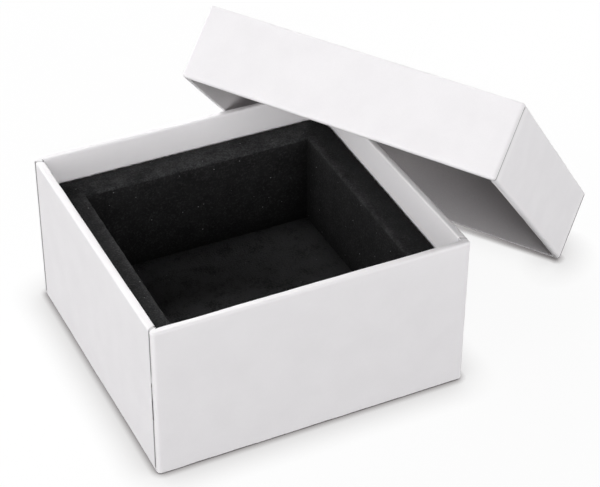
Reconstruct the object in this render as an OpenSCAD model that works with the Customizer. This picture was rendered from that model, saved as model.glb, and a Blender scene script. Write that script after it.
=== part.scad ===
// Rigid set-up box of paper-wrapped greyboard with a foam insert.
// The loose lid leans on the tray's rear right corner, open side towards the tray.
// Origin: centre of the tray's underside. +X right, +Y rear, +Z up. Millimetres.

/* [Tray] */
// Outside width of the tray
tray_w = 90; // [60:1:160]
// Outside depth of the tray
tray_d = 86; // [60:1:160]
// Outside height of the tray
tray_h = 46.5; // [36:0.5:70]
// Thickness of the tray's greyboard
tray_board = 1.8; // [1.2:0.1:3]
// How far the paper is turned in down the inside of the tray's walls
tray_turn_in = 16; // [12:1:20]
// How far the paper is turned under the tray's floor
turn_under = 12; // [8:1:16]

/* [Lid] */
// Outside height of the lid
lid_h = 21.5; // [16:0.5:30]
// Thickness of the lid's greyboard
lid_board = 1.2; // [1:0.1:2]
// How far short of the lid's top its turned-in paper stops
lid_turn_gap = 1; // [1:0.5:6]
// Gap between lid and tray on each side when the box is closed
lid_fit = 0.4; // [0.2:0.1:1]

/* [Paper] */
// Thickness of the wrapping paper with its glue
wrap_t = 0.2; // [0.15:0.01:0.3]
// Outside radius of the wrapped upright corners
corner_r = 0.7; // [0.5:0.1:0.9]
// Thickness of the corner stays under the wrapping paper
stay_t = 0.1; // [0.06:0.01:0.12]
// Width of each half of a corner stay
stay_w = 9; // [6:1:12]
// Thickness of the sheet glued under the tray
bottom_sheet_t = 0.15; // [0.1:0.01:0.25]
// How far the bottom sheet stays back from the tray's edges
bottom_sheet_inset = 2; // [1:0.5:4]
// Thickness of the lining sheet inside the lid's top
liner_t = 0.15; // [0.1:0.01:0.25]
// Gap between the lining sheet and the lid's walls
liner_gap = 0.4; // [0.2:0.1:1]

/* [Foam insert] */
// Depth of the foam's top face below the tray's rim
foam_recess = 9; // [5:0.5:12]
// Width of the foam ring between the tray's wall and the pocket
foam_ring_w = 8.3; // [5:0.1:12]
// Thickness of the foam floor pad
foam_pad_t = 7; // [4:0.5:10]
// Gap between foam and tray on each side
foam_gap = 0.3; // [0.2:0.1:0.6]
// Radius of the foam's upright corners
foam_corner_r = 0.6; // [0.3:0.1:3]

/* [Leaning lid] */
// Angle of the lid's open side from level
lean = 47; // [44:0.5:54]
// Turn of the lid's long edge from the tray's front, seen from above
turn = 55; // [48:0.5:60]
// Roll of the lid that lifts its hidden lower corner
roll = 1.6; // [0:0.1:3]
// Gap between the leaning lid and the tray where they meet
rest_gap = 0.35; // [0.3:0.05:0.6]

/* [Hidden] */
$fn = 48;
// Overrun of cuts through a face
cut_over = 1;
// Radius of the boards' upright corners under the paper
board_corner_r = corner_r - wrap_t;

// Boards of the tray, outside and inside, without their paper
tray_board_w = tray_w - 2 * wrap_t;
tray_board_d = tray_d - 2 * wrap_t;
tray_board_z = bottom_sheet_t + wrap_t;
tray_board_top = tray_h - wrap_t;
tray_floor_z = tray_board_z + tray_board;
// Hollow of the tray between the turned-in papers
tray_wall = tray_board + 2 * wrap_t;
tray_in_w = tray_w - 2 * tray_wall;
tray_in_d = tray_d - 2 * tray_wall;

// Outside of the lid, from the tray and the closing gap
lid_wall = lid_board + 2 * wrap_t;
lid_w = tray_w + 2 * (lid_fit + lid_wall);
lid_d = tray_d + 2 * (lid_fit + lid_wall);
// Boards and hollow of the lid, in the lid's own axes with the rim at zero
lid_board_w = lid_w - 2 * wrap_t;
lid_board_d = lid_d - 2 * wrap_t;
lid_in_w = lid_w - 2 * lid_wall;
lid_in_d = lid_d - 2 * lid_wall;
lid_board_top = lid_h - wrap_t;
lid_top_z = lid_board_top - lid_board;
lid_ceiling = lid_top_z - liner_t;
lid_turn_in = lid_top_z - lid_turn_gap;

// Foam sizes, from the hollow of the tray
foam_w = tray_in_w - 2 * foam_gap;
foam_d = tray_in_d - 2 * foam_gap;
foam_top_z = tray_h - foam_recess;
pocket_w = foam_w - 2 * foam_ring_w;
pocket_d = foam_d - 2 * foam_ring_w;
pocket_floor_z = tray_floor_z + foam_pad_t;

// Shares of the leaning lid's axes along X and Z: across it, down its slope and deep into it
across_x = cos(turn) * cos(roll);
across_z = -sin(roll);
down_z = -sin(lean) * cos(roll);
deep_x = cos(lean) * sin(roll) * cos(turn) + sin(lean) * sin(turn);
deep_z = cos(lean) * cos(roll);

// The tray's rear right rim corner, measured in the lid's own axes
corner_deep = lid_ceiling - rest_gap;
corner_across = lid_wall + rest_gap - lid_w / 2 + corner_deep * across_x / deep_x;
corner_down = lid_d / 2 + (tray_h - across_z * (corner_across - lid_w / 2) - deep_z * corner_deep) / down_z;

paper_white = [0.95, 0.95, 0.95];
board_grey = [0.62, 0.61, 0.58];
foam_black = [0.05, 0.05, 0.055];

// Block centred on the Z axis, from one height to another
module block(w, d, from_z, to_z) {
    translate([-w / 2, -d / 2, from_z])
        cube([w, d, to_z - from_z]);
}

// The same with round upright corners
module round_block(w, d, r, from_z, to_z) {
    translate([0, 0, from_z])
        linear_extrude(to_z - from_z) {
            square([w - 2 * r, d], center = true);
            square([w, d - 2 * r], center = true);
            for (x = [-1, 1], y = [-1, 1])
                translate([x * (w / 2 - r), y * (d / 2 - r)])
                    circle(r);
        }
}

// Board wall over the whole width, side -1 at the front and 1 at the rear
module cross_board(w, d, t, from_z, to_z, side) {
    intersection() {
        translate([0, side * (d - t) / 2, 0])
            block(w, t, from_z, to_z);
        round_block(w, d, board_corner_r, from_z, to_z);
    }
}

// Board wall between the cross boards, side -1 at the left and 1 at the right
module along_board(w, d, t, from_z, to_z, side) {
    translate([side * (w - t) / 2, 0, 0])
        block(t, d - 2 * t, from_z, to_z);
}

// Space that four board walls fill
module wall_ring(w, d, t, from_z, to_z) {
    difference() {
        round_block(w, d, board_corner_r, from_z, to_z);
        block(w - 2 * t, d - 2 * t, from_z - cut_over, to_z + cut_over);
    }
}

// Four paper strips folded round the corners of a box of boards
module corner_stays(w, d, from_z, to_z) {
    difference() {
        intersection() {
            round_block(w + 2 * stay_t, d + 2 * stay_t, board_corner_r + stay_t, from_z, to_z);
            for (x = [-1, 1], y = [-1, 1])
                translate([x * w / 2, y * d / 2, 0])
                    block(2 * stay_w, 2 * stay_w, from_z, to_z);
        }
        round_block(w, d, board_corner_r, from_z - cut_over, to_z + cut_over);
    }
}

// Carries what is drawn in the lid's own axes, rim at zero and top up, to where the lid leans
module leaning() {
    translate([tray_w / 2, tray_d / 2, tray_h])
        rotate([-lean, roll, -turn])
            translate([-corner_across, -corner_down, -corner_deep])
                children();
}

module tray_stays() {
    corner_stays(tray_board_w, tray_board_d, tray_board_z, tray_board_top);
}

module lid_stays() {
    corner_stays(lid_board_w, lid_board_d, wrap_t, lid_board_top);
}

module base_floor_board() {
    color(board_grey)
        block(tray_board_w - 2 * tray_board, tray_board_d - 2 * tray_board, tray_board_z, tray_floor_z);
}

module base_front_board() {
    color(board_grey)
        cross_board(tray_board_w, tray_board_d, tray_board, tray_board_z, tray_board_top, -1);
}

module base_rear_board() {
    color(board_grey)
        cross_board(tray_board_w, tray_board_d, tray_board, tray_board_z, tray_board_top, 1);
}

module base_left_board() {
    color(board_grey)
        along_board(tray_board_w, tray_board_d, tray_board, tray_board_z, tray_board_top, -1);
}

module base_right_board() {
    color(board_grey)
        along_board(tray_board_w, tray_board_d, tray_board, tray_board_z, tray_board_top, 1);
}

module base_corner_stays() {
    color(paper_white)
        tray_stays();
}

// Paper over the walls, round the rim, down the inside and under the floor's edges
module base_wrap() {
    color(paper_white)
        difference() {
            round_block(tray_w, tray_d, corner_r, bottom_sheet_t, tray_h);
            wall_ring(tray_board_w, tray_board_d, tray_board, tray_board_z, tray_board_top);
            block(tray_board_w, tray_board_d, tray_board_z, tray_h - tray_turn_in);
            block(tray_in_w, tray_in_d, tray_board_z, tray_h + cut_over);
            block(tray_w - 2 * turn_under, tray_d - 2 * turn_under, -cut_over, tray_h);
            tray_stays();
        }
}

// Sheet under the tray, pressed up against the floor board inside the turned-under paper
module base_bottom_sheet() {
    color(paper_white) {
        block(tray_w - 2 * bottom_sheet_inset, tray_d - 2 * bottom_sheet_inset, 0, bottom_sheet_t);
        block(tray_w - 2 * turn_under, tray_d - 2 * turn_under, 0, tray_board_z);
    }
}

// Foam ring that makes the walls of the pocket
module insert_frame() {
    color(foam_black)
        difference() {
            round_block(foam_w, foam_d, foam_corner_r, pocket_floor_z, foam_top_z);
            round_block(pocket_w, pocket_d, foam_corner_r, pocket_floor_z - cut_over, foam_top_z + cut_over);
        }
}

// Foam floor under the ring
module insert_pad() {
    color(foam_black)
        round_block(foam_w, foam_d, foam_corner_r, tray_floor_z, pocket_floor_z);
}

module lid_top_board() {
    color(board_grey)
        leaning()
            block(lid_board_w - 2 * lid_board, lid_board_d - 2 * lid_board, lid_top_z, lid_board_top);
}

module lid_front_board() {
    color(board_grey)
        leaning()
            cross_board(lid_board_w, lid_board_d, lid_board, wrap_t, lid_board_top, -1);
}

module lid_rear_board() {
    color(board_grey)
        leaning()
            cross_board(lid_board_w, lid_board_d, lid_board, wrap_t, lid_board_top, 1);
}

module lid_left_board() {
    color(board_grey)
        leaning()
            along_board(lid_board_w, lid_board_d, lid_board, wrap_t, lid_board_top, -1);
}

module lid_right_board() {
    color(board_grey)
        leaning()
            along_board(lid_board_w, lid_board_d, lid_board, wrap_t, lid_board_top, 1);
}

module lid_corner_stays() {
    color(paper_white)
        leaning()
            lid_stays();
}

// Paper over the lid's top and walls, round the rim and up the inside
module lid_wrap() {
    color(paper_white)
        leaning()
            difference() {
                round_block(lid_w, lid_d, corner_r, 0, lid_h);
                wall_ring(lid_board_w, lid_board_d, lid_board, wrap_t, lid_board_top);
                block(lid_board_w, lid_board_d, lid_turn_in, lid_board_top);
                block(lid_in_w, lid_in_d, -cut_over, lid_board_top);
                lid_stays();
            }
}

// Lining sheet under the top board
module lid_liner() {
    color(paper_white)
        leaning()
            block(lid_in_w - 2 * liner_gap, lid_in_d - 2 * liner_gap, lid_ceiling, lid_top_z);
}

base_floor_board();
base_front_board();
base_rear_board();
base_left_board();
base_right_board();
base_corner_stays();
base_wrap();
base_bottom_sheet();
insert_frame();
insert_pad();
lid_top_board();
lid_front_board();
lid_rear_board();
lid_left_board();
lid_right_board();
lid_corner_stays();
lid_wrap();
lid_liner();
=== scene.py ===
"""White paper-covered set-up box with a foam insert, open, its loose lid leaning on a rear corner."""
import math
from typing import NamedTuple

import bmesh
import bpy
from mathutils import Euler, Matrix, Vector, noise


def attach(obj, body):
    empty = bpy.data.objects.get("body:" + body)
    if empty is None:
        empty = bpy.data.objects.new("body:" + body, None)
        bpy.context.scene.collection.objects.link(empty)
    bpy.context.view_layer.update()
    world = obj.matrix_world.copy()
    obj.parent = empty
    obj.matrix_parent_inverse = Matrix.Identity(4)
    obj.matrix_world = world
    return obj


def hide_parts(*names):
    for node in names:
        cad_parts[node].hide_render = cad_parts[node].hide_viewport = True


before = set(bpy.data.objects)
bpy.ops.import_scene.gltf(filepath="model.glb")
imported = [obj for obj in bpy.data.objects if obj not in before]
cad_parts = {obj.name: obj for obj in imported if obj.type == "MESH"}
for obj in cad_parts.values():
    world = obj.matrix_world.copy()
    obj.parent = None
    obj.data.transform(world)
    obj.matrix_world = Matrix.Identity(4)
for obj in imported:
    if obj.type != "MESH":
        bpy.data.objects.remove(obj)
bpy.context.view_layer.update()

MM = 0.001

# Attitude of the leaning lid's own axes
LEAN = math.radians(47)
TURN = math.radians(55)
ROLL = math.radians(1.6)
UPRIGHT = Matrix.Identity(3)
LEANING = Euler((-LEAN, ROLL, -TURN), "XYZ").to_matrix()


def own_box(node, axes):
    """Lowest and highest corner of a CAD node, measured along the given axes."""
    back = axes.transposed()
    points = [back @ v.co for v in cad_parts[node].data.vertices]
    low = Vector(min(p[i] for p in points) for i in range(3))
    high = Vector(max(p[i] for p in points) for i in range(3))
    return low, high


# Camera at the photograph's viewing angle

CAMERA_TURN = math.radians(-26.13)
CAMERA_HEIGHT = math.radians(36.25)
CAMERA_ROLL = math.radians(0.51)
CAMERA_DISTANCE = 539.65 * MM
CAMERA_AIM = Vector((18.66, 4.96, 22.5)) * MM
CAMERA_LENS = 115.28
CAMERA_SENSOR = 36
CAMERA_CLIP = (10 * MM, 10)


def make_camera():
    """Camera that looks at the aim point from its turn, height and distance."""
    forward = Vector((
        -math.sin(CAMERA_TURN) * math.cos(CAMERA_HEIGHT),
        math.cos(CAMERA_TURN) * math.cos(CAMERA_HEIGHT),
        -math.sin(CAMERA_HEIGHT),
    ))
    right = Vector((math.cos(CAMERA_TURN), math.sin(CAMERA_TURN), 0))
    up = right.cross(forward)
    axis_x = right * math.cos(CAMERA_ROLL) + up * math.sin(CAMERA_ROLL)
    axis_y = up * math.cos(CAMERA_ROLL) - right * math.sin(CAMERA_ROLL)
    data = bpy.data.cameras.new("camera")
    data.sensor_width = CAMERA_SENSOR
    data.lens = CAMERA_LENS
    data.clip_start, data.clip_end = CAMERA_CLIP
    camera = bpy.data.objects.new("camera", data)
    bpy.context.scene.collection.objects.link(camera)
    place = Matrix((axis_x, axis_y, -forward)).transposed().to_4x4()
    place.translation = CAMERA_AIM - forward * CAMERA_DISTANCE
    camera.matrix_world = place
    bpy.context.scene.camera = camera


# Cross-sections of shells

class Spot(NamedTuple):
    """Point of a cross-section: how far inward and how high it is, and its outward normal.

    Then come the depth there of a seam and of a corner's pit, both as shares, which also set
    their painted shade, the share of paleness from rubbing and from painted light, how far a
    seam bends aside, how far the spot lies deep inside the lid, which sets the painted shade
    there, and whether it is on the outer face.
    """
    inward: float
    z: float
    n_in: float
    n_up: float
    seam: float = 0.0
    pit: float = 0.0
    wear: float = 0.0
    bend: float = 0.0
    deep: float = 0.0
    outer: bool = True


# Count of a spot's values that are divided between two spots
MEASURES = Spot._fields.index("outer")


def arc(centre, radius, start, end, steps=6, **extra):
    """Round stretch, with angles in degrees from the inward direction and extras at both ends."""
    spots = []
    for i in range(steps + 1):
        share = i / steps
        angle = math.radians(start + (end - start) * share)
        along, up = math.cos(angle), math.sin(angle)
        carried = {name: a + (b - a) * share for name, (a, b) in extra.items()}
        spots.append(Spot(centre[0] + radius * along, centre[1] + radius * up, along, up, **carried))
    return spots


def joined(path, spacing):
    """The same cross-section with its long straight stretches divided."""
    spots = [path[0]]
    for a, b in zip(path, path[1:]):
        length = math.hypot(b.inward - a.inward, b.z - a.z)
        parts = max(1, round(length / spacing))
        for i in range(1, parts + 1):
            spots.append(Spot(*(p + (q - p) * i / parts for p, q in zip(a[:MEASURES], b[:MEASURES]))))
    return spots


def skin(path, thickness):
    """Closed cross-section of a paper that has the path as its outer face."""
    back = []
    for spot in reversed(path):
        inward = spot.inward - spot.n_in * thickness
        z = spot.z - spot.n_up * thickness
        back.append(Spot(inward, z, spot.n_in, spot.n_up, outer=False))
    return path + back


# Plans: where a cross-section stands round a rounded rectangle

# Side of each corner on X and on Y, and the direction in degrees in which its arc starts
CORNERS = ((1, 1, 0), (-1, 1, 90), (-1, -1, 180), (1, -1, 270))
CORNER_STEPS = 8

# Sides in the order in which they follow the corners
REAR, LEFT, FRONT, RIGHT = range(4)

# Share of a step that the even places keep clear of a groove
GROOVE_CLEARANCE_SHARE = 0.4


class Station(NamedTuple):
    """Place between two corner points, with its depth in a groove and in a pit, both as shares.

    The bend is the way along the side in which a seam there bends aside.
    """
    a: tuple
    b: tuple
    share: float = 0.0
    dip: float = 0.0
    pit: float = 0.0
    bend: float = 0.0


def side_stations(a, b, length, spacing, groove):
    """Even places along one side, and a groove near both of its ends."""
    parts = max(2, round(length / spacing))
    clear = groove[-1][0] / length + GROOVE_CLEARANCE_SHARE / parts if groove else 0
    stations = [Station(a, b, i / parts) for i in range(1, parts) if clear < i / parts < 1 - clear]
    for along, dip in groove:
        share = along / length
        stations.append(Station(a, b, share, dip, bend=1))
        stations.append(Station(a, b, 1 - share, dip, bend=-1))
    return sorted(stations, key=lambda station: station.share)


def plan_stations(low, high, spacing, groove=()):
    """Places round a rounded rectangle, with a groove at both ends of its left and right sides."""
    stations = []
    for index, (sx, sy, start) in enumerate(CORNERS):
        for i in range(CORNER_STEPS + 1):
            corner = (sx, sy, start + 90 * i / CORNER_STEPS)
            stations.append(Station(corner, corner, pit=0 if i in (0, CORNER_STEPS) else 1))
        bx, by, _ = CORNERS[(index + 1) % 4]
        length = high.x - low.x if index in (REAR, FRONT) else high.y - low.y
        own_groove = groove if index in (LEFT, RIGHT) else ()
        a, b = (sx, sy, start + 90), (bx, by, start + 90)
        stations += side_stations(a, b, length, spacing, own_groove)
    return stations


# Sweeps of a cross-section round a plan

# Least radius of a corner that is drawn inward
FOLD_R = 0.25 * MM

# Shares of a ripple's length in millimetres by which its noise is shifted on X, Y and Z
SHIFT_SHARES = (1, 0.7, 1.3)

# How much a fold adds to the ripple, and how fast a corner's pit deepens into a fold
FOLD_RIPPLE = 2.5
PIT_GROWTH = 1.6

# Distance under which two vertices become one, and the least angle of an edge shaded as sharp
WELD = 0.001 * MM
SHARP_ANGLE = math.radians(40)


def corner_point(corner, half, radius, inward):
    """Point of a corner's arc on the outline drawn inward by the given distance."""
    sx, sy, degrees = corner
    angle = math.radians(degrees)
    own_radius = max(radius - inward, FOLD_R)
    x = sx * (half[0] - inward - own_radius) + own_radius * math.cos(angle)
    y = sy * (half[1] - inward - own_radius) + own_radius * math.sin(angle)
    return Vector((x, y)), Vector((math.cos(angle), math.sin(angle)))


def uneven(point, grain):
    """Smooth random number from -1 to 1 that varies over about the given length."""
    shift = Vector([grain / MM * share for share in SHIFT_SHARES])
    return noise.noise(point / grain + shift)


def ring_point(spot, station, low, high, radius, dip_depth, ripple):
    """One vertex of a swept shell: its place and how deep it lies in a seam or a pit."""
    turning = abs(2 * spot.n_in * spot.n_up)
    seam = station.dip * spot.seam
    pit = station.pit * spot.pit * min(1, PIT_GROWTH * turning)
    sunk = dip_depth * (seam + pit)
    inward = spot.inward - spot.n_in * sunk
    half = ((high.x - low.x) / 2, (high.y - low.y) / 2)
    from_corner, normal = corner_point(station.a, half, radius, inward)
    to_corner, _ = corner_point(station.b, half, radius, inward)
    side = max((to_corner - from_corner).length, MM)
    flat = from_corner.lerp(to_corner, station.share + station.bend * spot.bend / side)
    middle_x, middle_y = (low.x + high.x) / 2, (low.y + high.y) / 2
    point = Vector((middle_x + flat.x, middle_y + flat.y, spot.z - spot.n_up * sunk))
    if spot.outer:
        push = sum(size * uneven(point, grain) for size, grain in ripple)
        push *= 1 + FOLD_RIPPLE * turning
        point -= Vector((normal.x * spot.n_in, normal.y * spot.n_in, -spot.n_up)) * push
    return point, max(seam, pit, 0)


def sweep(section, stations, low, high, radius, whole=True, capped=False, dip_depth=0.0, ripple=()):
    """Mesh of a cross-section swept round a plan, closed by caps at its open ends."""
    mesh = bmesh.new()
    seam = mesh.verts.layers.float.new("seam")
    wear = mesh.verts.layers.float.new("wear")
    deep = mesh.verts.layers.float.new("deep")
    rings = []
    for station in stations:
        ring = []
        for spot in section:
            point, depth = ring_point(spot, station, low, high, radius, dip_depth, ripple)
            vert = mesh.verts.new(point)
            # Depth in a seam and in a corner's pit, which also sets their painted shade
            vert[seam] = depth
            # Share of paleness from rubbing and from painted light, with a painted highlight where a
            # seam's paper stands proud
            vert[wear] = max(spot.wear, min(1, -station.dip * spot.seam))
            # Share of painted shade deep inside the lid
            vert[deep] = spot.deep
            ring.append(vert)
        rings.append(ring)
    steps = len(section) - 1 if capped else len(section)
    pairs = list(zip(rings, rings[1:]))
    if whole:
        pairs.append((rings[-1], rings[0]))
    for a, b in pairs:
        for i in range(steps):
            j = (i + 1) % len(section)
            mesh.faces.new((a[i], b[i], b[j], a[j]))
    if capped:
        mesh.faces.new([ring[0] for ring in reversed(rings)])
        mesh.faces.new([ring[-1] for ring in rings])
    if not whole:
        mesh.faces.new(list(rings[0]))
        mesh.faces.new(list(reversed(rings[-1])))
    bmesh.ops.remove_doubles(mesh, verts=mesh.verts, dist=WELD)
    bmesh.ops.recalc_face_normals(mesh, faces=mesh.faces)
    return mesh


def piece(name, mesh, axes, body, material, stands_for):
    """Object made of a mesh drawn along the given axes, riding on a body in place of CAD nodes."""
    data = bpy.data.meshes.new(name)
    mesh.to_mesh(data)
    mesh.free()
    data.transform(axes.to_4x4())
    data.polygons.foreach_set("use_smooth", [True] * len(data.polygons))
    data.set_sharp_from_angle(angle=SHARP_ANGLE)
    data.materials.append(material)
    made = bpy.data.objects.new(name, data)
    bpy.context.scene.collection.objects.link(made)
    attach(made, body)
    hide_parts(*stands_for)
    return made


# Boards under the paper

TRAY_BOARD_R = 1.2 * MM
LID_BOARD_R = 1.0 * MM

# Distance under which a vertex lies on a plane
ON_PLANE = 0.01 * MM


def board_nodes(whose, panel):
    """CAD nodes of a tray's or a lid's panel and of its four walls."""
    return ["%s_%s_board" % (whose, part) for part in (panel, "front", "rear", "left", "right")]


def on_planes(vert, low, high):
    """Sides of a box that a vertex lies on."""
    sides = {(i, 0) for i in range(3) if abs(vert.co[i] - low[i]) < ON_PLANE}
    return sides | {(i, 1) for i in range(3) if abs(vert.co[i] - high[i]) < ON_PLANE}


def on_box_edge(edge, low, high):
    """Whether an edge of a mesh is part of an edge of a box, which two of its sides share."""
    first, second = (on_planes(vert, low, high) for vert in edge.verts)
    return len(first & second) == 2


def board_mesh(low, high, box_low, box_high, round_r):
    """Board with its edges rounded where they are edges of the whole box of boards."""
    mesh = bmesh.new()
    size = high - low
    place = Matrix.Translation((low + high) / 2) @ Matrix.Diagonal(size).to_4x4()
    bmesh.ops.create_cube(mesh, size=1, matrix=place)
    outer = [edge for edge in mesh.edges if on_box_edge(edge, box_low, box_high)]
    if outer:
        bmesh.ops.bevel(mesh, geom=outer, offset=round_r, segments=4, profile=0.5, affect="EDGES")
    return mesh


def make_boards(nodes, axes, body, round_r, material):
    """One rounded board for each CAD board of a body."""
    boxes = [own_box(node, axes) for node in nodes]
    box_low = Vector(min(low[i] for low, _ in boxes) for i in range(3))
    box_high = Vector(max(high[i] for _, high in boxes) for i in range(3))
    for node, (low, high) in zip(nodes, boxes):
        mesh = board_mesh(low, high, box_low, box_high, round_r)
        piece(node + ".board", mesh, axes, body, material, [node])


# Corner stays

STAY_T = 0.1 * MM
STAY_W = 9 * MM
STAY_STEPS = 6

# How far the stays end short of the boards' rounded edges
TRAY_STAY_SHORT = 1.0 * MM
LID_STAY_SHORT = 0.6 * MM


def make_stays(node, axes, body, radius, short, material):
    """Four paper strips folded round the corners, a little short of the rounded edges."""
    low, high = own_box(node, axes)
    bottom, top = low.z + short, high.z - short
    outline = ((0, bottom), (0, top), (STAY_T, top), (STAY_T, bottom))
    section = [Spot(inward, z, 0, 0) for inward, z in outline]
    span = high - low
    strips = bmesh.new()
    for index, (sx, sy, start) in enumerate(CORNERS):
        before, after = CORNERS[index - 1], CORNERS[(index + 1) % 4]
        side_before, side_after = (span.y, span.x) if index in (REAR, FRONT) else (span.x, span.y)
        first = ((before[0], before[1], start), (sx, sy, start))
        last = ((sx, sy, start + 90), (after[0], after[1], start + 90))
        corners = [(sx, sy, start + 90 * i / STAY_STEPS) for i in range(STAY_STEPS + 1)]
        stations = [Station(*first, 1 - STAY_W / side_before)]
        stations += [Station(corner, corner) for corner in corners]
        stations.append(Station(*last, STAY_W / side_after))
        strip = sweep(section, stations, low, high, radius, whole=False)
        data = bpy.data.meshes.new("strip")
        strip.to_mesh(data)
        strip.free()
        strips.from_mesh(data)
        bpy.data.meshes.remove(data)
    piece(node + ".paper", strips, axes, body, material, [node])


# Wrapping paper and its seams

PAPER_T = 0.1 * MM
PAPER_STEP = 2 * MM
PAPER_SECTION_STEP = 4 * MM

# Height of each ripple and the length over which it varies
PAPER_RIPPLE = ((0.02 * MM, 6 * MM), (0.03 * MM, 22 * MM))

# Depth of a seam, length of the dot at its end, the step down into the dot, and the bend aside
SEAM_DEPTH = 0.085 * MM
SEAM_DOT = 0.6 * MM
SEAM_STEP = 0.1 * MM
SEAM_BEND = 0.7 * MM

# Shares of the seam's depth that its dots, a corner's pit and the paper turned in have, which also set
# their painted shade
SEAM_DOT_SHARE = 1.5
PIT_SHARE = 1.5
SEAM_INSIDE_SHARE = 0.4


def seam_end(z, way):
    """Spots of an outer wall where a seam starts with a deeper dot of painted shade and goes up (1) or
    down (-1).
    """
    steps = ((SEAM_STEP, SEAM_DOT_SHARE), (SEAM_DOT, SEAM_DOT_SHARE), (SEAM_DOT + SEAM_STEP, 1))
    return [Spot(0, z + way * along, -1, 0, seam) for along, seam in steps]


def wall_thickness(left_board, low, axes):
    """Thickness of a wall with paper on both of its faces, from a board and the paper's low corner."""
    board_low, board_high = own_box(left_board, axes)
    return board_high.x - board_low.x + 2 * (board_low.x - low.x)


def paper_sweep(path, low, high, radius, groove, capped=False):
    """Mesh of wrapping paper that has the path as its outer face and seams near its corners."""
    section = skin(joined(path, PAPER_SECTION_STEP), PAPER_T)
    stations = plan_stations(low, high, PAPER_STEP, groove)
    return sweep(section, stations, low, high, radius, capped=capped, dip_depth=SEAM_DEPTH,
                 ripple=PAPER_RIPPLE)


# Tray

TRAY_CORNER_R = 1.2 * MM
TRAY_TURN_IN = 16 * MM
TRAY_TURN_UNDER = 12 * MM
RIM_OUTER_R = 0.7 * MM
RIM_INNER_R = 0.5 * MM
FOOT_R = 0.55 * MM

# Distance from the corner and depth as a share, across one seam
TRAY_GROOVE = ((0.02 * MM, 0), (0.05 * MM, 1), (0.85 * MM, 1), (0.95 * MM, 0))

# Depth of the seam and of a corner's pit on the rim, as shares
RIM_SEAM_SHARE = 0.38
RIM_PIT_SHARE = 0.8

# Direction in degrees, on the inner fold, in which the seam's upper dot starts
RIM_DOT_START = 50

# Painted highlight at the top of the wall and on the rim, and painted light on the inner wall, which
# lighten them as if better lit
WALL_TOP_HIGHLIGHT = 0.3
RIM_HIGHLIGHT = 1
INSIDE_LIGHT = 0.7


def make_tray_wrap(material):
    """Paper over the tray's walls, turned in over the rim and under the floor's edges."""
    low, high = own_box("base_wrap", UPRIGHT)
    wall = wall_thickness("base_left_board", low, UPRIGHT)
    inner = (wall - RIM_INNER_R, high.z - RIM_INNER_R)
    path = [Spot(TRAY_TURN_UNDER, low.z, 0, -1)]
    path += arc((FOOT_R, low.z + FOOT_R), FOOT_R, 270, 180)
    path += seam_end(low.z + FOOT_R, 1)
    path += arc((RIM_OUTER_R, high.z - RIM_OUTER_R), RIM_OUTER_R, 180, 90, steps=8,
                seam=(1, RIM_SEAM_SHARE), wear=(WALL_TOP_HIGHLIGHT, RIM_HIGHLIGHT), bend=(0, SEAM_BEND))
    path += arc(inner, RIM_INNER_R, 90, RIM_DOT_START, steps=3,
                seam=(RIM_SEAM_SHARE, SEAM_DOT_SHARE), pit=(RIM_PIT_SHARE, PIT_SHARE),
                wear=(RIM_HIGHLIGHT, INSIDE_LIGHT), bend=(SEAM_BEND / 2, SEAM_BEND / 4))
    path += arc(inner, RIM_INNER_R, RIM_DOT_START, 0, steps=3,
                seam=(SEAM_DOT_SHARE, SEAM_DOT_SHARE), pit=(PIT_SHARE, PIT_SHARE),
                wear=(INSIDE_LIGHT, INSIDE_LIGHT), bend=(SEAM_BEND / 4, 0))
    for down in (RIM_INNER_R + SEAM_STEP, TRAY_TURN_IN):
        path.append(Spot(wall, high.z - down, 1, 0, seam=SEAM_INSIDE_SHARE, wear=INSIDE_LIGHT))
    mesh = paper_sweep(path, low, high, TRAY_CORNER_R, TRAY_GROOVE)
    piece("base_wrap.paper", mesh, UPRIGHT, "tray", material, ["base_wrap"])


# Lid

LID_CORNER_R = 0.9 * MM
LID_RIM_OUTER_R = 0.9 * MM
LID_RIM_INNER_R = 0.35 * MM
LID_TOP_R = 0.7 * MM
LID_TURN_GAP = 1 * MM

# How far inward the paper's last ring lies, which a flat cap closes
LID_CAP_INWARD = 43 * MM

# Distance from the corner and depth as a share, across one seam, where below 0 the paper stands proud
# and takes a painted highlight
LID_GROOVE = ((0.02 * MM, 0), (0.05 * MM, 1), (0.52 * MM, 1), (0.68 * MM, 0.2),
              (1.3 * MM, -1.1), (1.9 * MM, -1.2), (3.4 * MM, -0.6), (5 * MM, 0))

# Depth of the seam at the rim's outer and inner fold, and of a corner's pit there, as shares
LID_OUTER_SEAM_SHARE = 0.4
LID_INNER_SEAM_SHARE = 0.9
LID_PIT_SHARE = 1.2
# Painted highlight on the lid's rim, which lightens it as if better lit
LID_RIM_HIGHLIGHT = 0.6


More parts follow.
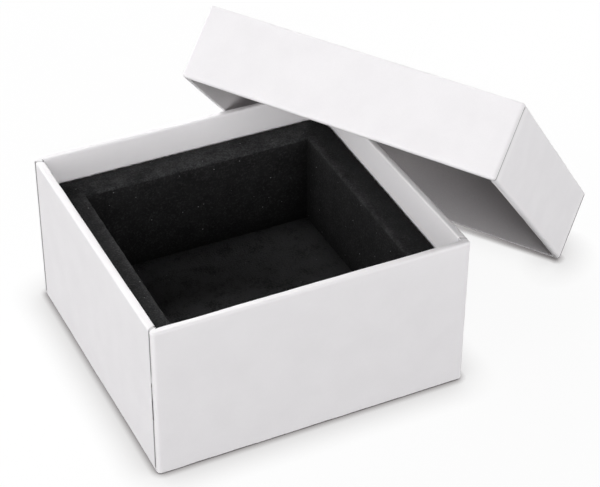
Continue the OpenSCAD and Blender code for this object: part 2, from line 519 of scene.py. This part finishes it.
def make_lid_wrap(material):
    """Paper over the lid's top and walls, turned in over the rim and up the inside."""
    low, high = own_box("lid_wrap", LEANING)
    top_board_low, _ = own_box("lid_top_board", LEANING)
    wall = wall_thickness("lid_left_board", low, LEANING)
    path = [Spot(LID_CAP_INWARD, high.z, 0, 1)]
    path += arc((LID_TOP_R, high.z - LID_TOP_R), LID_TOP_R, 90, 180)
    path += seam_end(high.z - LID_TOP_R, -1)
    path += arc((LID_RIM_OUTER_R, low.z + LID_RIM_OUTER_R), LID_RIM_OUTER_R, 180, 270,
                seam=(1, LID_OUTER_SEAM_SHARE), wear=(0, LID_RIM_HIGHLIGHT), bend=(0, SEAM_BEND / 2))
    path += arc((wall - LID_RIM_INNER_R, low.z + LID_RIM_INNER_R), LID_RIM_INNER_R, 270, 360,
                seam=(LID_INNER_SEAM_SHARE, SEAM_DOT_SHARE), pit=(LID_PIT_SHARE, PIT_SHARE),
                wear=(LID_RIM_HIGHLIGHT, 0), bend=(SEAM_BEND / 2, 0), deep=(0, 1))
    # Paper turned up inside the lid, which takes painted shade deep in it
    for z in (low.z + LID_RIM_INNER_R + SEAM_STEP, top_board_low.z - LID_TURN_GAP):
        path.append(Spot(wall, z, 1, 0, seam=SEAM_INSIDE_SHARE, deep=1))
    mesh = paper_sweep(path, low, high, LID_CORNER_R, LID_GROOVE, capped=True)
    piece("lid_wrap.paper", mesh, LEANING, "lid", material, ["lid_wrap"])


# Foam insert

FOAM_RING_W = 8.3 * MM
FOAM_CORNER_R = 0.6 * MM
FOAM_EDGE_R = 0.7 * MM
FOAM_CUT_R = 0.6 * MM
FOAM_SMALL_R = FOAM_CUT_R / 2
FOAM_RIPPLE = ((0.045 * MM, 1.2 * MM), (0.02 * MM, 7 * MM))
FOAM_STEP = 0.5 * MM
FOAM_SECTION_STEP = 1.5 * MM

# How far the ring's top stands proud at the rear and lies deeper at the front
FOAM_REAR_LIFT = 0.4 * MM
FOAM_FRONT_SINK = 1.9 * MM

# Paleness from rubbing and a painted highlight on the outer edge, the rear's painted light, and that
# paleness on the cut edge from its top to its wall
FOAM_EDGE_WEAR_AND_SHEEN = 0.03
FOAM_REAR_LIGHT = 0.42
FOAM_CUT_WEAR_AND_SHEEN = (0.34, 0.28)

# Width over which the rear's painted light ends at the corners
FOAM_SIDE_BLEND = 3 * MM

# Distance from the pocket's upper edge and the paleness there from rubbing and a painted highlight,
# out over the ring's top and down its wall
FOAM_TOP_WEAR_AND_SHEEN = ((4 * MM, 0.06), (2 * MM, 0.13))
FOAM_WALL_WEAR_AND_SHEEN = ((0.9 * MM, 0.07), (3 * MM, 0))

PAD_STEP = 2 * MM
# Painted light over the pad's top, which lightens the pocket's floor as if better lit
PAD_LIGHT = 1.3

# How far inward the pad's last ring lies, which a flat cap closes
PAD_CAP_INWARD = 38 * MM


def sink_front(mesh, low, high):
    """Slopes the top of a mesh, which stands a little proud at the rear and deeper at the front."""
    for vert in mesh.verts:
        forward = (high.y - vert.co.y) / (high.y - low.y)
        up = (vert.co.z - low.z) / (high.z - low.z)
        vert.co.z += up * (FOAM_REAR_LIFT - forward * (FOAM_REAR_LIFT + FOAM_FRONT_SINK))


def light_rear(mesh, low, high):
    """Paints light on the top of a ring at its rear more than at its other sides."""
    wear = mesh.verts.layers.float["wear"]
    middle = (low + high) / 2
    for vert in mesh.verts:
        x, y = vert.co.x - middle.x, vert.co.y - middle.y
        rear = min(1, max(0, (y - abs(x)) / FOAM_SIDE_BLEND + 0.5))
        if vert.co.z > high.z - FOAM_EDGE_R:
            vert[wear] = max(vert[wear], FOAM_REAR_LIGHT * rear)


def make_foam_frame(material):
    """Foam ring, pale along the upper edge of its pocket from rubbing and a painted highlight, with
    painted light on the rear of its top.
    """
    low, high = own_box("insert_frame", UPRIGHT)
    path = arc((FOAM_SMALL_R, low.z + FOAM_SMALL_R), FOAM_SMALL_R, 270, 180, steps=3)
    path += arc((FOAM_EDGE_R, high.z - FOAM_EDGE_R), FOAM_EDGE_R, 180, 90,
                wear=(FOAM_EDGE_WEAR_AND_SHEEN, FOAM_EDGE_WEAR_AND_SHEEN))
    path += [Spot(FOAM_RING_W - away, high.z, 0, 1, wear=wear) for away, wear in FOAM_TOP_WEAR_AND_SHEEN]
    path += arc((FOAM_RING_W - FOAM_CUT_R, high.z - FOAM_CUT_R), FOAM_CUT_R, 90, 0, wear=FOAM_CUT_WEAR_AND_SHEEN)
    path += [Spot(FOAM_RING_W, high.z - down, 1, 0, wear=wear) for down, wear in FOAM_WALL_WEAR_AND_SHEEN]
    path += arc((FOAM_RING_W - FOAM_SMALL_R, low.z + FOAM_SMALL_R), FOAM_SMALL_R, 0, -90, steps=3)
    section = joined(path, FOAM_SECTION_STEP)
    stations = plan_stations(low, high, FOAM_STEP)
    mesh = sweep(section, stations, low, high, FOAM_CORNER_R, ripple=FOAM_RIPPLE)
    sink_front(mesh, low, high)
    # Painted light on the rear of the ring's top
    light_rear(mesh, low, high)
    ring = piece("insert_frame.foam", mesh, UPRIGHT, "insert", material, ["insert_frame"])


def make_foam_pad(material):
    """Foam floor pad, a little uneven on top, with painted light over its top."""
    low, high = own_box("insert_pad", UPRIGHT)
    path = [Spot(PAD_CAP_INWARD, high.z, 0, 1, wear=PAD_LIGHT)]
    path += arc((FOAM_SMALL_R, high.z - FOAM_SMALL_R), FOAM_SMALL_R, 90, 180, steps=3,
                wear=(PAD_LIGHT, PAD_LIGHT))
    path += arc((FOAM_SMALL_R, low.z + FOAM_SMALL_R), FOAM_SMALL_R, 180, 270, steps=3)
    path.append(Spot(PAD_CAP_INWARD, low.z, 0, -1))
    section = joined(path, PAD_STEP)
    stations = plan_stations(low, high, PAD_STEP)
    mesh = sweep(section, stations, low, high, FOAM_CORNER_R, capped=True, ripple=FOAM_RIPPLE)
    pad = piece("insert_pad.foam", mesh, UPRIGHT, "insert", material, ["insert_pad"])


# Materials

# Ranges that values are carried from and to: a noise's middle, more of it, and all shares
MIDDLE = (0.35, 0.65)
WIDE_MIDDLE = (0.3, 0.7)
SHARES = (0, 1)

# Samples of each look round into a hollow
HOLLOW_SAMPLES = 6


class Nodes:
    """Short way to add shader nodes to one node tree."""

    def __init__(self, tree):
        self.tree = tree

    def add(self, kind, **settings):
        """New node with the given settings."""
        node = self.tree.nodes.new(kind)
        for key, value in settings.items():
            setattr(node, key, value)
        return node

    def put(self, value, target):
        """Joins an output to an input, or gives the input a number or a colour."""
        if isinstance(value, bpy.types.NodeSocket):
            self.tree.links.new(value, target)
        elif isinstance(value, tuple):
            target.default_value = (*value, 1)
        else:
            target.default_value = value

    def span(self, value, start, end):
        """Value carried from the start range to the end range and held inside it."""
        node = self.add("ShaderNodeMapRange")
        self.put(value, node.inputs["Value"])
        for limit, from_number, to_number in zip(("Min", "Max"), start, end):
            self.put(from_number, node.inputs["From " + limit])
            self.put(to_number, node.inputs["To " + limit])
        return node.outputs["Result"]

    def mix(self, share, a, b):
        """Colour between a and b, each a colour or an output."""
        node = self.add("ShaderNodeMix", data_type="RGBA")
        self.put(share, node.inputs["Factor"])
        for name, colour in (("A", a), ("B", b)):
            self.put(colour, next(s for s in node.inputs if s.name == name and s.type == "RGBA"))
        return next(s for s in node.outputs if s.type == "RGBA")

    def combine(self, operation, a, b):
        """Two values, each a number or an output, put together by a sum of the given kind."""
        node = self.add("ShaderNodeMath", operation=operation)
        self.put(a, node.inputs[0])
        self.put(b, node.inputs[1])
        return node.outputs["Value"]

    def openness(self, reach, power, **settings):
        """1 in the open and towards 0 near other surfaces, within about the given reach."""
        near = self.add("ShaderNodeAmbientOcclusion", **settings)
        self.put(reach, near.inputs["Distance"])
        return self.combine("POWER", near.outputs["AO"], power)

    def hollow(self, reach, power, local=False):
        """0 in the open and towards 1 deep in a hollow of about the given size."""
        open_share = self.openness(reach, power, only_local=local, samples=HOLLOW_SAMPLES)
        return self.span(open_share, SHARES, (1, 0))


class Surface(Nodes):
    """Shader nodes of one new material, with its textures fixed to the object."""

    def __init__(self, name):
        self.material = bpy.data.materials.new(name)
        self.material.use_nodes = True
        super().__init__(self.material.node_tree)
        self.shader = self.tree.nodes["Principled BSDF"]
        self.place = self.add("ShaderNodeTexCoord").outputs["Object"]

    def noise(self, grain, detail=3.0, roughness=0.5, stretch=(1, 1, 1)):
        """Noise whose features are about the given length."""
        mapping = self.add("ShaderNodeMapping")
        mapping.inputs["Scale"].default_value = stretch
        self.put(self.place, mapping.inputs["Vector"])
        node = self.add("ShaderNodeTexNoise")
        self.put(1 / grain, node.inputs["Scale"])
        self.put(detail, node.inputs["Detail"])
        self.put(roughness, node.inputs["Roughness"])
        self.put(mapping.outputs["Vector"], node.inputs["Vector"])
        return node.outputs["Fac"]

    def cells(self, grain):
        """Distance from scattered points about the given length apart."""
        node = self.add("ShaderNodeTexVoronoi")
        self.put(1 / grain, node.inputs["Scale"])
        self.put(self.place, node.inputs["Vector"])
        return node.outputs["Distance"]

    def attribute(self, name):
        """Value stored on the mesh."""
        return self.add("ShaderNodeAttribute", attribute_name=name).outputs["Fac"]

    def matt(self, colour, roughness, gloss=0.5):
        """Sets the colour, the roughness and the strength of the faint gloss."""
        self.put(colour, self.shader.inputs["Base Color"])
        self.put(roughness, self.shader.inputs["Roughness"])
        self.put(gloss, self.shader.inputs["Specular IOR Level"])

    def bump(self, layers):
        """Fine relief, each layer a height from 0 to 1 and how far it stands out."""
        normal = None
        for height, distance in layers:
            node = self.add("ShaderNodeBump")
            self.put(1, node.inputs["Strength"])
            self.put(distance, node.inputs["Distance"])
            self.put(height, node.inputs["Height"])
            if normal is not None:
                self.put(normal, node.inputs["Normal"])
            normal = node.outputs["Normal"]
        self.put(normal, self.shader.inputs["Normal"])


# White paper

# Length of the fibres in both white papers
FIBRE_GRAIN = 0.35 * MM

# Painted shade deep inside the lid, and the size and sharpness of that hollow
DEEP_SHADE = (0.065, 0.045, 0.04)
LID_HOLLOW = 60 * MM
LID_HOLLOW_POWER = 1.1

PAPER_DULL = (0.865, 0.847, 0.864)
PAPER_BRIGHT = (0.89, 0.872, 0.889)
PAPER_FIBRE = (0.81, 0.79, 0.81)
# Painted highlight on the folds and rims
PAPER_FOLD_HIGHLIGHT = (0.92, 0.903, 0.917)
# Painted shade of a seam's gap and of a corner's pit
PAPER_SEAM_SHADE = (0.045, 0.034, 0.041)
PAPER_CLOUD = 9 * MM
PAPER_WAVE = 2.2 * MM
PAPER_WAVE_RELIEF = 0.02 * MM
PAPER_FIBRE_RELIEF = 0.012 * MM

# Depths between which a seam takes its painted shade, the fibres' strength, and the clouds' roughness
PAPER_SEAM_RANGE = (0.05, 1.2)
PAPER_FIBRE_SHARES = (0.25, 0)
PAPER_ROUGHNESS = (0.62, 0.54)


def paper_material():
    """Smooth matt white paper with faint clouds and fine fibres, painted highlight on folds, painted
    shade in seams and deep in the lid.
    """
    n = Surface("white_paper")
    clouds = n.span(n.noise(PAPER_CLOUD, detail=4), MIDDLE, SHARES)
    fibres = n.noise(FIBRE_GRAIN, detail=3, roughness=0.6)
    white = n.mix(clouds, PAPER_DULL, PAPER_BRIGHT)
    speckled = n.mix(n.span(fibres, WIDE_MIDDLE, PAPER_FIBRE_SHARES), white, PAPER_FIBRE)
    # Painted highlight on the folds and rims, and where a seam's paper stands proud
    folded = n.mix(n.attribute("wear"), speckled, PAPER_FOLD_HIGHLIGHT)
    # Painted shade deep inside the lid, darker where the lid's own hollow closes round
    hollow = n.hollow(LID_HOLLOW, LID_HOLLOW_POWER, local=True)
    shaded = n.mix(n.combine("MULTIPLY", n.attribute("deep"), hollow), folded, DEEP_SHADE)
    # Painted shade in the seams and the corners' pits
    seam = n.span(n.attribute("seam"), PAPER_SEAM_RANGE, SHARES)
    roughness = n.span(clouds, SHARES, PAPER_ROUGHNESS)
    n.matt(n.mix(seam, shaded, PAPER_SEAM_SHADE), roughness, gloss=0.35)
    n.bump([(n.noise(PAPER_WAVE, detail=2), PAPER_WAVE_RELIEF), (fibres, PAPER_FIBRE_RELIEF)])
    return n.material


# Lining paper

# Greyer and warmer than the wrap, partly the paper's own tone and partly painted shade of the lid's
# inside
LINING_DULL = (0.70, 0.665, 0.66)
LINING_BRIGHT = (0.75, 0.715, 0.71)
LINING_FIBRE = (0.64, 0.61, 0.60)
LINING_FIBRE_SHARES = (0.3, 0)
LINING_CLOUD = 11 * MM
LINING_RELIEF = 0.015 * MM


def lining_material():
    """Uncoated lining paper, a little greyer and warmer than the wrap partly as painted shade, with
    painted shade deeper in its hollow.
    """
    n = Surface("lining_paper")
    clouds = n.noise(LINING_CLOUD, detail=4)
    fibres = n.noise(FIBRE_GRAIN, detail=3, roughness=0.6)
    pale = n.mix(n.span(clouds, MIDDLE, SHARES), LINING_DULL, LINING_BRIGHT)
    fibred = n.mix(n.span(fibres, WIDE_MIDDLE, LINING_FIBRE_SHARES), pale, LINING_FIBRE)
    # Painted shade deeper in the lid's hollow
    shaded = n.mix(n.hollow(LID_HOLLOW, LID_HOLLOW_POWER), fibred, DEEP_SHADE)
    n.matt(shaded, roughness=0.75, gloss=0.25)
    n.bump([(fibres, LINING_RELIEF)])
    return n.material


# Greyboard

GREYBOARD_DARK = (0.27, 0.26, 0.235)
GREYBOARD_LIGHT = (0.37, 0.36, 0.33)
GREYBOARD_FLECK = (0.16, 0.155, 0.145)
GREYBOARD_FLECK_RANGE = (0.6, 0.72)
GREYBOARD_PULP_GRAIN = 1.4 * MM
GREYBOARD_FLECK_GRAIN = 0.5 * MM
GREYBOARD_RELIEF = 0.05 * MM


def greyboard_material():
    """Recycled grey board with darker and lighter flecks."""
    n = Surface("greyboard")
    pulp = n.noise(GREYBOARD_PULP_GRAIN, detail=5, roughness=0.65)
    specks = n.noise(GREYBOARD_FLECK_GRAIN, detail=2, stretch=(1, 3, 1))
    flecks = n.span(specks, GREYBOARD_FLECK_RANGE, SHARES)
    base = n.mix(n.span(pulp, MIDDLE, SHARES), GREYBOARD_DARK, GREYBOARD_LIGHT)
    n.matt(n.mix(flecks, base, GREYBOARD_FLECK), roughness=0.9, gloss=0.2)
    n.bump([(pulp, GREYBOARD_RELIEF)])
    return n.material


# Paper of the stays

STAY_DARK = (0.72, 0.70, 0.66)
STAY_LIGHT = (0.82, 0.80, 0.76)
STAY_GRAIN = 0.8 * MM
STAY_RELIEF = 0.02 * MM


def stay_material():
    """Plain cream paper tape."""
    n = Surface("stay_paper")
    fibres = n.noise(STAY_GRAIN, detail=4, stretch=(1, 1, 0.3))
    n.matt(n.mix(fibres, STAY_DARK, STAY_LIGHT), roughness=0.8)
    n.bump([(fibres, STAY_RELIEF)])
    return n.material


# Foam

FOAM_BLACK = (0.008, 0.008, 0.0085)
FOAM_DARK = (0.014, 0.014, 0.0145)
# Paleness of rubbing, painted highlight and painted light
FOAM_WEAR_AND_LIGHT = (0.09, 0.09, 0.092)
FOAM_GRAINED = (0.06, 0.06, 0.061)
FOAM_LINT = (0.24, 0.24, 0.245)
# Painted shade in the foam's hollows
FOAM_DEEP_SHADE = (0.001, 0.001, 0.001)
FOAM_GRAIN = 0.55 * MM
FOAM_GRAIN_RELIEF = 0.10 * MM
FOAM_CELL_RELIEF = 0.08 * MM
FOAM_PATCH = 5 * MM
FOAM_STREAK = 1.2 * MM
FOAM_LINT_APART = 3.2 * MM
# Size and sharpness of the hollows that take the painted shade
FOAM_HOLLOW = 8 * MM
FOAM_HOLLOW_POWER = 1.2

# How patches, streaks and grain weaken and strengthen the wear and painted light, and the grain's
# range for that
FOAM_PATCH_SHARES = (0.45, 1.4)
FOAM_STREAK_SHARES = (0.6, 1.3)
FOAM_GRAIN_SHARES = (0.5, 1.6)
FOAM_GRAIN_RANGE = (0.4, 0.65)

# Range of the grain over which it shows as pale specks, and their strength
FOAM_SPECK_RANGE = (0.5, 0.7)
FOAM_SPECK_SHARES = (0, 0.48)

# Distances from a bit of lint, as shares of how far apart they are, between which it fades
FOAM_LINT_RANGE = (0.035, 0.06)


def foam_material():
    """Black closed-cell foam with a fine grain and pale lint, paler along its edges from rubbing and a
    painted highlight, with painted light on the ring's rear and the pad and painted shade in hollows.
    """
    n = Surface("black_foam")
    grain = n.noise(FOAM_GRAIN, detail=4, roughness=0.7)
    patches = n.noise(FOAM_PATCH, detail=4, roughness=0.6)
    streaks = n.noise(FOAM_STREAK, detail=3, stretch=(0.25, 0.25, 1))
    cells = n.cells(FOAM_GRAIN)
    dark = n.mix(n.span(patches, MIDDLE, SHARES), FOAM_BLACK, FOAM_DARK)
    # Share of rubbing, painted highlight and painted light, broken up below by patches, streaks and
    # grain
    wear_and_light_share = n.attribute("wear")
    for pattern, start, end in (
        (patches, WIDE_MIDDLE, FOAM_PATCH_SHARES),
        (streaks, WIDE_MIDDLE, FOAM_STREAK_SHARES),
        (grain, FOAM_GRAIN_RANGE, FOAM_GRAIN_SHARES),
    ):
        wear_and_light_share = n.combine("MULTIPLY", wear_and_light_share, n.span(pattern, start, end))
    worn_and_lit = n.mix(n.span(wear_and_light_share, SHARES, SHARES), dark, FOAM_WEAR_AND_LIGHT)
    grained = n.mix(n.span(grain, FOAM_SPECK_RANGE, FOAM_SPECK_SHARES), worn_and_lit, FOAM_GRAINED)
    linted = n.mix(n.span(n.cells(FOAM_LINT_APART), FOAM_LINT_RANGE, (1, 0)), grained, FOAM_LINT)
    # Painted shade in the foam's hollows and inner corners
    shaded = n.mix(n.hollow(FOAM_HOLLOW, FOAM_HOLLOW_POWER), linted, FOAM_DEEP_SHADE)
    n.matt(shaded, roughness=0.95, gloss=0.15)
    n.bump([(grain, FOAM_GRAIN_RELIEF), (cells, FOAM_CELL_RELIEF)])
    return n.material


# Floor, world and lamps

WORLD_LIGHT = 0.02
FLOOR_SIZE = 6.0
FLOOR_BOUNCE = 0.2
FLOOR_GLOW = 0.94

# Reach and strength of the floor's painted shade, a dark line near what stands on it
FLOOR_CONTACT = ((2 * MM, 0.95), (11 * MM, 0.52))

# Power, a little under 1, that keeps more of the red in the floor's painted dark line
FLOOR_WARMTH = 0.965

LAMP_SOFTNESS = math.radians(50)

# Lamps: name, direction from +X towards +Y and height in degrees, strength
LAMPS = (
    ("left", 180, 15, 1.98),
    ("left_high", 180, 40, 0.32),
    ("front", 270, 10, 2.5),
    ("right", 350, 10, 1.25),
    ("rear", 90, 30, 3.0),
)


def direct_view(n):
    """1 where the surface is seen directly, in a gloss or through glass, and else 0."""
    path = n.add("ShaderNodeLightPath")
    seen = path.outputs["Is Camera Ray"]
    for name in ("Is Glossy Ray", "Is Transmission Ray"):
        seen = n.combine("MAXIMUM", seen, path.outputs[name])
    return seen


def make_world():
    """Even soft light, seen as white."""
    world = bpy.data.worlds.new("studio")
    bpy.context.scene.world = world
    world.use_nodes = True
    n = Nodes(world.node_tree)
    background = n.tree.nodes["Background"]
    n.put((1, 1, 1), background.inputs["Color"])
    n.put(n.span(direct_view(n), SHARES, (WORLD_LIGHT, 1)), background.inputs["Strength"])


def contact_shade(n):
    """1 on the open floor, with painted shade that darkens it close to what stands on it."""
    line, surround = (n.openness(reach, strength) for reach, strength in FLOOR_CONTACT)
    return n.combine("MULTIPLY", line, surround)


def warm(n, shade):
    """Grey of the given brightness with a little more red in its darker parts."""
    colour = n.add("ShaderNodeCombineColor")
    n.put(n.combine("POWER", shade, FLOOR_WARMTH), colour.inputs["Red"])
    for name in ("Green", "Blue"):
        n.put(shade, colour.inputs[name])
    return colour.outputs["Color"]


def floor_material():
    """White floor that keeps the object's shadow, lighter and with a painted contact shade where it is
    seen.
    """
    material = bpy.data.materials.new("floor_white")
    material.use_nodes = True
    n = Nodes(material.node_tree)
    n.tree.nodes.remove(n.tree.nodes["Principled BSDF"])
    seen = direct_view(n)
    colour = n.mix(seen, (FLOOR_BOUNCE, FLOOR_BOUNCE, FLOOR_BOUNCE), warm(n, contact_shade(n)))
    diffuse = n.add("ShaderNodeBsdfDiffuse")
    glow = n.add("ShaderNodeEmission")
    for shader in (diffuse, glow):
        n.put(colour, shader.inputs["Color"])
    both = n.add("ShaderNodeMixShader")
    n.put(n.span(seen, SHARES, (0, FLOOR_GLOW)), both.inputs["Fac"])
    n.put(diffuse.outputs["BSDF"], both.inputs[1])
    n.put(glow.outputs["Emission"], both.inputs[2])
    n.put(both.outputs["Shader"], n.tree.nodes["Material Output"].inputs["Surface"])
    return material


def make_floor():
    """Large floor at the height that the object stands on."""
    mesh = bmesh.new()
    bmesh.ops.create_grid(mesh, x_segments=1, y_segments=1, size=FLOOR_SIZE / 2)
    data = bpy.data.meshes.new("floor")
    mesh.to_mesh(data)
    mesh.free()
    data.materials.append(floor_material())
    floor = bpy.data.objects.new("floor", data)
    bpy.context.scene.collection.objects.link(floor)


def make_lamp(name, direction, height, strength):
    """Wide soft lamp far away in the given direction."""
    turn, rise = math.radians(direction), math.radians(height)
    data = bpy.data.lights.new(name, "SUN")
    data.angle = LAMP_SOFTNESS
    data.energy = strength
    lamp = bpy.data.objects.new(name, data)
    lamp.rotation_mode = "QUATERNION"
    way = Vector((math.cos(turn) * math.cos(rise), math.sin(turn) * math.cos(rise), math.sin(rise)))
    lamp.rotation_quaternion = way.to_track_quat("Z", "Y")
    bpy.context.scene.collection.objects.link(lamp)


# The whole scene

def make_stage():
    """Camera, world, floor and lamps."""
    bpy.context.scene.view_settings.view_transform = "Standard"
    make_camera()
    make_world()
    make_floor()
    for lamp in LAMPS:
        make_lamp(*lamp)


def dress_sheet(node, material):
    """Gives a flat CAD sheet, which is kept as it is, its material."""
    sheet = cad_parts[node].data
    sheet.materials.clear()
    sheet.materials.append(material)


def make_box():
    """Papers, boards, stays and foam of the tray, the insert and the lid."""
    paper = paper_material()
    greyboard = greyboard_material()
    stay_paper = stay_material()
    foam = foam_material()
    make_tray_wrap(paper)
    make_lid_wrap(paper)
    make_boards(board_nodes("base", "floor"), UPRIGHT, "tray", TRAY_BOARD_R, greyboard)
    make_boards(board_nodes("lid", "top"), LEANING, "lid", LID_BOARD_R, greyboard)
    make_stays("base_corner_stays", UPRIGHT, "tray", TRAY_CORNER_R, TRAY_STAY_SHORT, stay_paper)
    make_stays("lid_corner_stays", LEANING, "lid", LID_CORNER_R, LID_STAY_SHORT, stay_paper)
    make_foam_frame(foam)
    make_foam_pad(foam)
    dress_sheet("base_bottom_sheet", paper)
    dress_sheet("lid_liner", lining_material())


make_stage()
make_box()
